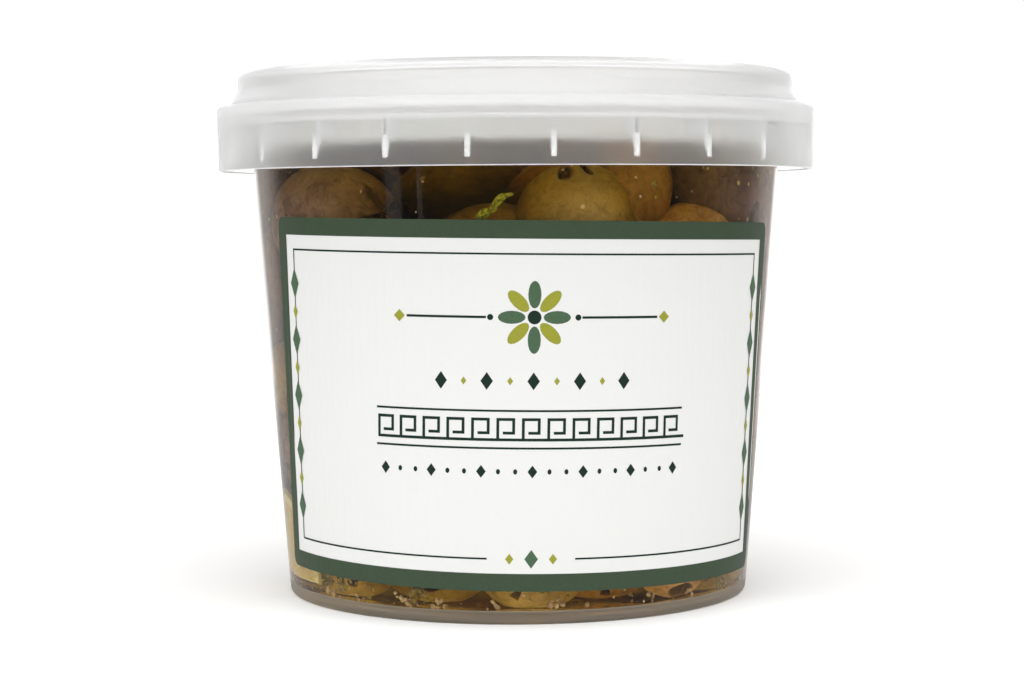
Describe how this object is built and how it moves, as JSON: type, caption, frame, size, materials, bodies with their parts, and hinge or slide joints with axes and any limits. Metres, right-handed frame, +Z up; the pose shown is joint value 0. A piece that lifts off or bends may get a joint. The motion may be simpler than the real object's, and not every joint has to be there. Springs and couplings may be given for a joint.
{
  "type": "lidded tub of pitted olives",
  "caption": "Clear tapered round plastic tub with a frosted press-on lid, full of pitted olives in oil with herbs and lemon, and a plain bordered label wrapped round its front.",
  "frame": {"origin": "middle of the tub's foot ring, on the plane that it rests on", "axes": "+Z up along the tub's axis; the label faces -Y"},
  "size_m": [0.0954, 0.0955, 0.0827],
  "materials": {
    "clear_plastic": "clear natural polypropylene, glossy",
    "frosted_plastic": "frosted natural polypropylene, translucent",
    "label_film": "white film label with a dark green border, satin",
    "olive_flesh": "olives in oil, purple brown to yellow green, wet",
    "lemon": "lemon in oil, pale yellow, wet"
  },
  "bodies": {
    "root": {"tub": "clear_plastic", "lid": "frosted_plastic", "label": "label_film", "olives": "olive_flesh", "lemon_slice": "lemon"}
  },
  "joints": []
}
